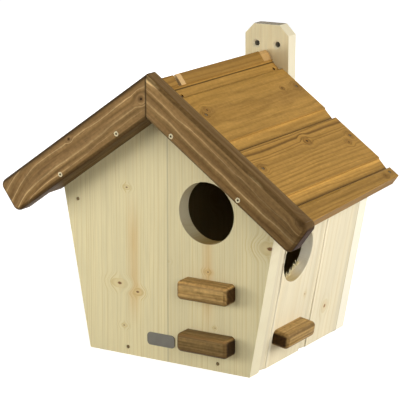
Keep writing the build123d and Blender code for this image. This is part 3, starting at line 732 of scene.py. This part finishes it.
# The right board is painted lighter at the apex and darker towards its lower end, as painted shade where the light
# falls off to the right; the left one changes less. Both are a little darker along the lower edge, and the left one
# is painted dark along its top edge, partly glaze gathered there and partly painted shade.
board("barge_board_right", gable_at, DOWN_ROOF[1], OFF_ROOF[1], pith=(22, 24), start=500, tone=(1.3, 0.72),
      joint=RIGHT, bands=[(-26.2, 3.5, -0.3)], knots=[(13.8, 228, 2.4)])
board("barge_board_left", gable_at, DOWN_ROOF[-1], OFF_ROOF[-1], pith=(60, 45), start=1200, bend=(165, 3.7),
      tone=(1.22, 1.02), joint=RIGHT, bands=[(13.8, 6.5, -0.65), (-26.2, 3.5, -0.3)],
      knots=[(-5.3, 10.9, 1.6), (6.6, 120.5, 0.9)])
board("gable_batten_right", gable_at, DOWN_ROOF[1], OFF_ROOF[1], pith=(-60, 30), start=1900, tone=0.55)
board("gable_batten_left", gable_at, DOWN_ROOF[-1], OFF_ROOF[-1], pith=(-50, 30), start=2600, tone=0.55)

# %% [markdown]
# ## Climbing steps and hanging board
# The steps are short offcuts under a thick glaze. The hanging board runs up behind the roof, bare and pale. The
# faces of its two bores take the dark joint colour.

# %% Steps and hanging board
BORE_X, BORE_Z, BORE_REACH = (-16, 12), 331.34, 3.5

# Each step is painted paler along its top front edge and darker near the bottom of its face.
board("front_step_upper", front_at, RIGHT, UP, pith=(130, -30), start=100, tone=1.33,
      bands=[(82, 5, -0.3), (102, 2.2, 1.0)])
board("front_step_lower", front_at, RIGHT, UP, pith=(-10, 25), start=600, tone=0.6,
      bands=[(22, 5, -0.3), (42, 2.2, 0.9)])
board("side_step", wall_right, BACK, UP_WALL[1], pith=(-60, 60), start=1000, tone=1.15,
      knots=[(37, 84, 1.2)], bands=[(24, 5, -0.25)])
board("hanging_board", rear_at, UP, RIGHT, pith=(-90, 60), start=1500, ease=0.8,
      bores=[(at(x, 0, BORE_Z), BORE_REACH * MM) for x in BORE_X])

# %% [markdown]
# ## Nails
# Round wire nails hold the boards. Drawn steel wire goes grey with a soft, blotchy shine, and screws are brighter
# under their zinc. Both are metals that differ in colour only.

# %% Nail steel
def fastener_steel(name, bright, dull):
    """Steel with a blotchy colour and sheen."""
    material, tree = blank_material(name)
    where = add(tree, "TexCoord").outputs["Object"]
    blotch = add(tree, "TexNoise", {"Vector": where, "Scale": 1 / (0.8 * MM), "Detail": 3.0})
    colour = add(tree, "Mix", {0: blotch, 6: linear(dull), 7: linear(bright)}, data_type="RGBA").outputs[2]
    worn = add(tree, "MapRange", {0: blotch, 3: 0.38, 4: 0.62})
    bump = add(tree, "Bump", {"Height": blotch, "Strength": 0.2, "Distance": 0.05 * MM})
    shader = add(tree, "BsdfPrincipled", {"Base Color": colour, "Metallic": 1.0, "Roughness": worn, "Normal": bump})
    add(tree, "OutputMaterial", {"Surface": shader})
    return material


steel = {"nail_steel": fastener_steel("grey_nail_wire", "#7d6a49", "#40341f"),
         "screw_steel": fastener_steel("zinc_plated_screw", "#b9b3a2", "#7d776a")}
print([material.name for material in steel.values()])

# %% [markdown]
# Nails repeat, so one Geometry Nodes tree makes a nail from named sizes and puts it on every point of a point
# cloud, turned along the point's "drive" direction. Nails of one solid become one mesh. Every tree in this lesson
# starts and ends in the same way, so two functions make its start and its end.

# %% The start and the end of a tree
def new_tree(name, sizes):
    """A Geometry Nodes tree that takes points, named sizes and a material."""
    tree = bpy.data.node_groups.new(name, "GeometryNodeTree")
    tree.interface.new_socket("Points", in_out="INPUT", socket_type="NodeSocketGeometry")
    for size in sizes:
        tree.interface.new_socket(size, in_out="INPUT", socket_type="NodeSocketFloat")
    tree.interface.new_socket("Material", in_out="INPUT", socket_type="NodeSocketMaterial")
    tree.interface.new_socket("Mesh", in_out="OUTPUT", socket_type="NodeSocketGeometry")
    return tree, add(tree, "NodeGroupInput").outputs


def place_on_points(tree, size, shape, turn=0.0, smallest=1.0):
    """Puts a shape on every point along its drive direction, makes it real and gives it its material."""
    drive = add(tree, "GeometryNodeInputNamedAttribute", {"Name": "drive"}, data_type="FLOAT_VECTOR")
    aim = add(tree, "FunctionNodeAlignRotationToVector", {"Vector": drive}, axis="Z")
    spin = add(tree, "FunctionNodeRandomValue", {2: -turn, 3: turn, "Seed": 7}).outputs[1]
    spin = add(tree, "FunctionNodeAxisAngleToRotation", {"Axis": (0, 0, 1), "Angle": spin})
    spin = add(tree, "FunctionNodeRotateRotation", [aim, spin], rotation_space="LOCAL")
    scale = add(tree, "FunctionNodeRandomValue", {2: smallest, 3: 1.0, "Seed": 3}).outputs[1]
    copies = add(tree, "GeometryNodeInstanceOnPoints",
                 {"Points": size["Points"], "Instance": shape, "Rotation": spin, "Scale": scale})
    real = add(tree, "GeometryNodeRealizeInstances", [copies])
    dressed = add(tree, "GeometryNodeSetMaterial", {"Geometry": real, "Material": size["Material"]})
    add(tree, "NodeGroupOutput", {"Mesh": dressed})


print("trees take points, sizes and a material")

# %% [markdown]
# Nails and screws are round, so each is turned as on a lathe: a list of (depth, radius) pairs is its outline. A
# curve runs down the axis with one point for each pair, and a circle swept along it takes the radius of each
# point. The nail has a low crown, a flat head, its wire and a point.

# %% The nail tree
TIP = 0.1 * MM


def turned(tree, outline, sides):
    """A closed round mesh, as from a lathe. The outline is (depth, radius) pairs of sockets or metres."""
    index = add(tree, "GeometryNodeInputIndex")
    switches = []
    for values in zip(*outline):
        switch = add(tree, "GeometryNodeIndexSwitch", data_type="FLOAT")
        while len(switch.index_switch_items) < len(values):
            switch.index_switch_items.new()
        for socket, value in zip(switch.inputs, (index,) + values):
            feed(tree, value, socket)
        switches.append(switch)
    depth, radius = switches
    axis = add(tree, "GeometryNodeMeshLine", {"Count": len(outline)})
    axis = add(tree, "GeometryNodeMeshToCurve", [axis])
    axis = add(tree, "GeometryNodeSetPosition", {0: axis, "Position": add(tree, "CombineXYZ", {2: depth})})
    circle = add(tree, "GeometryNodeCurvePrimitiveCircle", {"Resolution": sides, "Radius": 1.0}, mode="RADIUS")
    return add(tree, "GeometryNodeCurveToMesh", {0: axis, 1: circle, "Scale": radius, "Fill Caps": True})


nail_tree, size = new_tree("wire_nail", ("Head radius", "Head thickness", "Wire radius", "Length"))
crown_radius = add(nail_tree, "Math", [size["Head radius"], 0.78], operation="MULTIPLY")
crown_depth = add(nail_tree, "Math", [size["Head thickness"], 0.35], operation="MULTIPLY")
neck = add(nail_tree, "Math", [size["Head thickness"], 0.02 * MM], operation="ADD")
point = add(nail_tree, "Math", [size["Wire radius"], -3.0, size["Length"]], operation="MULTIPLY_ADD")
nail = turned(nail_tree, [(0.0, crown_radius), (crown_depth, size["Head radius"]),
                          (size["Head thickness"], size["Head radius"]), (neck, size["Wire radius"]),
                          (point, size["Wire radius"]), (size["Length"], TIP)], 20)
place_on_points(nail_tree, size, nail)
print(len(nail_tree.nodes), "nodes make a nail")

# %% [markdown]
# A small function runs a tree over a list of (point, direction) pairs. The sizes are set through each socket's
# identifier before Blender first evaluates the object. The result is copied to a plain mesh.

# %% Running a tree over points
def grown(name, tree, spots, sizes, material):
    """A plain mesh object from a Geometry Nodes tree over (point, direction) pairs. Sizes are millimetres."""
    mesh = bpy.data.meshes.new(name + "_points")
    mesh.from_pydata([spot for spot, way in spots], [], [])
    write(mesh, "drive", "FLOAT_VECTOR", [number for spot, way in spots for number in way])
    carrier = into_scene(name + "_points", mesh)
    modifier = carrier.modifiers.new(tree.name, "NODES")
    modifier.node_group = tree
    sockets = {item.name: item.identifier for item in tree.interface.items_tree if item.in_out == "INPUT"}
    for key, value in sizes.items():
        modifier[sockets[key]] = value * MM
    modifier[sockets["Material"]] = material
    made = bpy.data.meshes.new_from_object(carrier.evaluated_get(bpy.context.evaluated_depsgraph_get()))
    made.name = name
    bpy.data.objects.remove(carrier)
    return into_scene(name, made)


def fasten(node, tree, spots, sizes):
    """Grows the fasteners of one solid and lets them stand for it."""
    piece = grown(node + "_steel", tree, spots, sizes, steel[slot_of[node]])
    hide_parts(node)
    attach(piece, body_of[node])
    return piece


print("fasteners take", list(steel))

# %% [markdown]
# Each nail is driven at right angles to the face that its head sits in: into the slope for the roof, straight back
# for the barge boards, level into both panels for floor and pivot, and outward for the ledger of the left wall.

# %% Driving the nails
PIVOT_X, PIVOT_Z = -120.68, 174.19
BARGE_SINK = 1.2  # the barge board nails sit below the face
LEDGER_OUT = -37.4  # inner face of the ledger
STRIP_NAIL_DEPTH = {1: -4.5, -1: -7.1}  # floor of the recess, and seat of the ridge strip
NAIL_LENGTH = 38.0
NAIL_LENGTHS = {"strip_nails": 15.0, "eave_pins": 12.0, "pivot_nails": 38.8, "ledger_nails": 23.0}

both_panels = ((FRONT, BACK), (REAR, -BACK))
nail_spots = {
    "roof_nails": [(on_roof(side, down, y, 0), -OFF_ROOF[side]) for side in SIDES
                   for down in (UPPER_ROW, LOWER_ROW) for y in (FRONT_LINE, REAR_LINE)],
    "strip_nails": [(on_roof(side, 18.6, y, STRIP_NAIL_DEPTH[side]), -OFF_ROOF[side]) for side in SIDES
                    for y in (FRONT_LINE, REAR_LINE)],
    "eave_pins": [(on_roof(side, 205.8, y, 0), -OFF_ROOF[side]) for side in SIDES
                  for y in (FRONT - 4.5, REAR_LINE)],
    "barge_nails": [(on_roof(side, down, BARGE_FRONT + BARGE_SINK, -20.1), BACK)
                    for side, down in ((1, 53.6), (1, 155.8), (-1, 61.6), (-1, 154.5))],
    "floor_nails": [(at(x, y, 9), way) for x in (-54, 65) for y, way in both_panels],
    "pivot_nails": [(at(PIVOT_X, y, PIVOT_Z), way) for y, way in both_panels],
    "ledger_nails": [(on_wall(-1, back, 96, LEDGER_OUT), OFF_WALL[-1]) for back in (49, 83, 141, 175)],
}
for node, spots in nail_spots.items():
    piece = fasten(node, nail_tree, spots, {"Head radius": 2.0, "Head thickness": 1.0, "Wire radius": 1.1,
                                            "Length": NAIL_LENGTHS.get(node, NAIL_LENGTH)})

# %% [markdown]
# ## Screws
# The steps and the hanging board are screwed on from behind, where each screw shows a flat head with a cross
# recess. The recess is cut in the tree with a Mesh Boolean of two crossed bars, once, before the head is placed.

# %% The screw tree
screw_tree, size = new_tree("cross_head_screw", ("Head radius", "Head thickness", "Core radius", "Length",
                                                 "Cross length", "Cross width"))
rim = add(screw_tree, "Math", [size["Head thickness"], 0.3], operation="MULTIPLY")
point = add(screw_tree, "Math", [size["Core radius"], -3.0, size["Length"]], operation="MULTIPLY_ADD")
screw = turned(screw_tree, [(0.0, size["Head radius"]), (rim, size["Head radius"]),
                            (size["Head thickness"], size["Core radius"]), (point, size["Core radius"]),
                            (size["Length"], TIP)], 28)
for long_way, short_way, depth in (("Cross length", "Cross width", 1.4), ("Cross width", "Cross length", 1.3)):
    depth = add(screw_tree, "Math", [size["Head thickness"], depth], operation="MULTIPLY")
    bar = add(screw_tree, "CombineXYZ", [size[long_way], size[short_way], depth])
    bar = add(screw_tree, "GeometryNodeMeshCube", {"Size": bar})
    screw = add(screw_tree, "GeometryNodeMeshBoolean", [screw, bar], operation="DIFFERENCE", solver="EXACT")
place_on_points(screw_tree, size, screw, turn=0.7)
print(len(screw_tree.nodes), "nodes make a screw")

# %% [markdown]
# A pair of screws holds each step, to either side of its middle, and two pairs hold the hanging board.

# %% Driving the screws
STEP_X, STEP_HEIGHTS = 55, (93, 33)
SIDE_STEP_BACK, SIDE_STEP_UP = 72, 37
STEP_PAIR = (-17, 17)
HANGING_X, HANGING_PAIR = -2, (-15, 15)

screw_spots = {
    "front_step_screws": ([(at(STEP_X + aside, FRONT + PANEL, z), -BACK) for z in STEP_HEIGHTS
                           for aside in STEP_PAIR], 32.0),
    "side_step_screws": ([(on_wall(1, SIDE_STEP_BACK + aside, SIDE_STEP_UP, -WALL_BOARD), OFF_WALL[1])
                          for aside in STEP_PAIR], 26.0),
    "hanging_board_screws": ([(at(HANGING_X + aside, REAR + HANGING_BOARD, z), -BACK)
                              for z in (70, 210) for aside in HANGING_PAIR], 32.0),
}
for node, (spots, length) in screw_spots.items():
    piece = fasten(node, screw_tree, spots, {"Head radius": 3.5, "Head thickness": 2.0, "Core radius": 1.75,
                                             "Length": length, "Cross length": 4.2, "Cross width": 0.9})
    print(node, len(piece.data.polygons), "faces")

# %% [markdown]
# ## Torn wood
# The nail gun sank the barge board nails below the face and tore a ring of bare, pale fibres around each. The
# saw that cut the side entrance left a fringe of splinters at its lower rim. Both are fresh, woolly fibre: pale,
# matt and without stain.

# %% Bare torn fibres
torn, tree = blank_material("torn_bare_pine")
where = add(tree, "TexCoord").outputs["Object"]
wool = add(tree, "TexNoise", {"Vector": where, "Scale": 1 / (0.5 * MM), "Detail": 2.0})
tint = add(tree, "Mix", {0: wool, 6: linear("#cdbd8e"), 7: linear("#f4ebc8")}, data_type="RGBA").outputs[2]
shader = add(tree, "BsdfPrincipled", {"Base Color": tint, "Roughness": 0.85})
add(tree, "OutputMaterial", {"Surface": shader})
print("torn wood", torn.name)

# %% [markdown]
# Both repeat with small differences, so both are Geometry Nodes trees with a fixed seed. A noise moves their
# points about, which makes a ring or a cone ragged. The ring is a flattened loop of fibre.

# %% Torn rings
def ragged(tree, size, shape, lump):
    """The shape with its points moved by a noise. Lump is the noise's size in millimetres."""
    where = add(tree, "GeometryNodeInputPosition")
    shift = add(tree, "TexNoise", {"Vector": where, "Scale": 1 / (lump * MM), "Detail": 2.0}).outputs["Color"]
    shift = add(tree, "VectorMath", [shift, (0.5, 0.5, 0.5)], operation="SUBTRACT")
    shift = add(tree, "VectorMath", {0: shift, 3: size["Raggedness"]}, operation="SCALE")
    return add(tree, "GeometryNodeSetPosition", {0: shape, "Offset": shift})


ring_tree, size = new_tree("torn_ring", ("Ring radius", "Fibre radius", "Raggedness"))
loop = add(ring_tree, "GeometryNodeCurvePrimitiveCircle", {"Resolution": 28, "Radius": size["Ring radius"]},
           mode="RADIUS")
strand = add(ring_tree, "GeometryNodeCurvePrimitiveCircle", {"Resolution": 6, "Radius": size["Fibre radius"]},
             mode="RADIUS")
loop = add(ring_tree, "GeometryNodeCurveToMesh", [loop, strand])
loop = add(ring_tree, "GeometryNodeTransform", {0: loop, "Scale": (1, 1, 0.35)})
place_on_points(ring_tree, size, ragged(ring_tree, size, loop, 1.6), turn=3.0)
rings_torn = grown("barge_torn_rings", ring_tree,
                   [(spot - BACK * BARGE_SINK * MM, way) for spot, way in nail_spots["barge_nails"]],
                   {"Ring radius": 2.1, "Fibre radius": 0.85, "Raggedness": 1.4}, torn)
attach(rings_torn, "house")
print("torn rings", len(rings_torn.data.polygons), "faces")

# %% [markdown]
# A splinter is a flattened cone that stands up along the wall. Chance places them round the lower rim, near the
# inner face, where the saw came out of the wood.

# %% Splinters at the side entrance
SPLINTER_RING = 31.2  # just inside the rim

splinter_tree, size = new_tree("splinter", ("Width", "Length", "Raggedness"))
sliver = add(splinter_tree, "GeometryNodeMeshCone",
             {"Vertices": 7, "Side Segments": 4, "Radius Bottom": size["Width"], "Radius Top": 0.0,
              "Depth": size["Length"]})
sliver = add(splinter_tree, "GeometryNodeTransform", {0: sliver, "Scale": (1, 0.4, 1)})
place_on_points(splinter_tree, size, ragged(splinter_tree, size, sliver, 1.2), turn=3.0, smallest=0.45)
chance = random.Random(11)
splinter_spots = []
for count in range(110):
    angle = math.radians(chance.uniform(196, 322))
    back = SIDE_ENTRANCE_BACK + SPLINTER_RING * math.cos(angle)
    up = SIDE_ENTRANCE_UP + SPLINTER_RING * math.sin(angle)
    spot = on_wall(1, back, up - 0.8, -WALL_BOARD + chance.uniform(0.3, 3.0))
    way = UP_WALL[1] + BACK * chance.uniform(-0.35, 0.35) + RIGHT * chance.uniform(-0.3, 0.1)
    splinter_spots.append((spot, way.normalized()))
splinters = grown("side_entrance_splinters", splinter_tree, splinter_spots,
                  {"Width": 1.3, "Length": 6.0, "Raggedness": 1.1}, torn)
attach(splinters, "house")
print("splinters", len(splinters.data.polygons), "faces")

# %% [markdown]
# ## Label plate
# A small plate of grey lacquered aluminium is glued to the front. It was punched from sheet with rounded corners.
# A copy of the solid gets a fine broken edge, as a punched plate has after tumbling, and a brushed lacquer with a
# little wear. The plate stays blank.

# %% Label plate
lacquer, tree = blank_material("grey_lacquered_aluminium")  # brushed along X, satin
where = add(tree, "TexCoord").outputs["Object"]
brushed = add(tree, "Mapping", {"Vector": where, "Scale": (1 / 0.012, 1.0, 1 / 0.0005)})
brushed = add(tree, "TexNoise", {"Vector": brushed, "Scale": 1.0, "Detail": 3.0})
cloudy = add(tree, "TexNoise", {"Vector": where, "Scale": 1 / 0.008, "Detail": 2.0})
mixed = add(tree, "Math", [brushed, 0.5, cloudy], operation="MULTIPLY_ADD")
tint = add(tree, "Mix", {0: mixed, 6: linear("#575349"), 7: linear("#6a665b")}, data_type="RGBA").outputs[2]
worn = add(tree, "MapRange", {0: brushed, 3: 0.4, 4: 0.6})
shader = add(tree, "BsdfPrincipled", {"Base Color": tint, "Metallic": 0.2, "Roughness": worn})
add(tree, "OutputMaterial", {"Surface": shader})
plate_mesh = eased_copy("label_plate", 0.35 * MM, shortest=0.1 * MM)
plate_mesh.materials.clear()
plate_mesh.materials.append(lacquer)
plate = into_scene("label_plate_lacquered", plate_mesh)
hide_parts("label_plate")
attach(plate, body_of["label_plate"])
